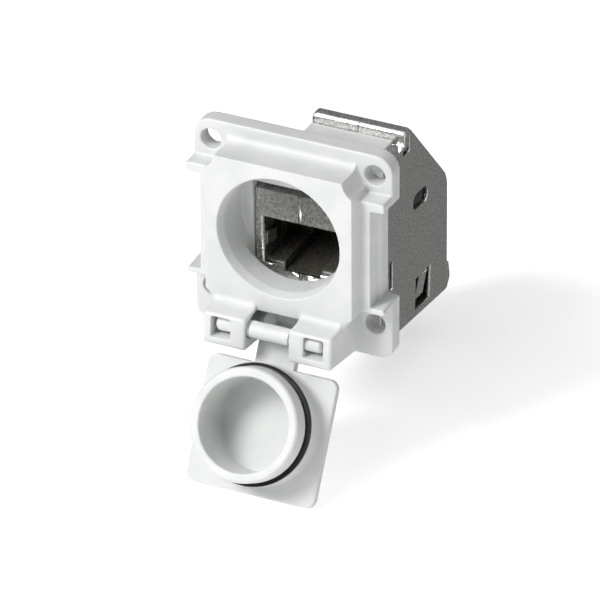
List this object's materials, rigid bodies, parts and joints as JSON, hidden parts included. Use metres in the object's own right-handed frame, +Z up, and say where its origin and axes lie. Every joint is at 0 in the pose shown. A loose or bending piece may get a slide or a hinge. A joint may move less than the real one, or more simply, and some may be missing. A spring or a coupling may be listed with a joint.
{
  "type": "ethernet panel connector",
  "caption": "White square flange with a round plug opening, a metal-cased jack module behind it and a hinged dust cap with a sealed plug ring, shown open",
  "frame": {"origin": "centre of the four screw holes, on the flange's rear face, which lies on the panel", "axes": "+X right seen from the front, +Y back through the panel along the plug's way in, +Z up"},
  "size_m": [0.0316, 0.0604, 0.0517],
  "materials": {
    "white_plastic": "fine moulded satin, light grey white",
    "black_rubber": "smooth black rubber",
    "grey_metal": "matte speckled grey plated metal",
    "bright_metal": "bright tinned sheet",
    "black_plastic": "black moulded",
    "board": "green circuit board",
    "gold_contact": "gold plated"
  },
  "bodies": {
    "flange": {"cable_clamp": "bright_metal", "circuit_board": "board", "contact_spring_1": "gold_contact", "contact_spring_2": "gold_contact", "contact_spring_3": "gold_contact", "contact_spring_4": "gold_contact", "contact_spring_5": "gold_contact", "contact_spring_6": "gold_contact", "contact_spring_7": "gold_contact", "contact_spring_8": "gold_contact", "flange_housing": "white_plastic", "module_shell_left": "grey_metal", "module_shell_right": "grey_metal", "panel_gasket": "black_rubber", "port_insert": "black_plastic", "rear_cover": "grey_metal", "shield_spring_left": "bright_metal", "shield_spring_right": "bright_metal", "wire_blade_lower_1": "bright_metal", "wire_blade_lower_2": "bright_metal", "wire_blade_lower_3": "bright_metal", "wire_blade_lower_4": "bright_metal", "wire_blade_upper_1": "bright_metal", "wire_blade_upper_2": "bright_metal", "wire_blade_upper_3": "bright_metal", "wire_blade_upper_4": "bright_metal", "wire_block_lower": "black_plastic", "wire_block_upper": "black_plastic", "wire_manager": "black_plastic"},
    "pins": {"hinge_pin_left": "white_plastic", "hinge_pin_right": "white_plastic"},
    "cap": {"dust_cap": "white_plastic", "cap_seal_ring": "black_rubber"}
  },
  "joints": [
    {"name": "pin_slide", "type": "slide", "parent": "flange", "child": "pins", "axis": [0, 0.9891, 0.1472], "range_m": [0, 0.00577]},
    {"name": "cap_hinge", "type": "hinge", "parent": "pins", "child": "cap", "pos_m": [0, -0.01007, -0.013], "axis": [-1, 0, 0], "range_deg": [0, 151.6]}
  ],
  "couplings": [
    {"joint": "pin_slide", "follows": "cap_hinge", "m_per_rad": 0.0021818}
  ]
}
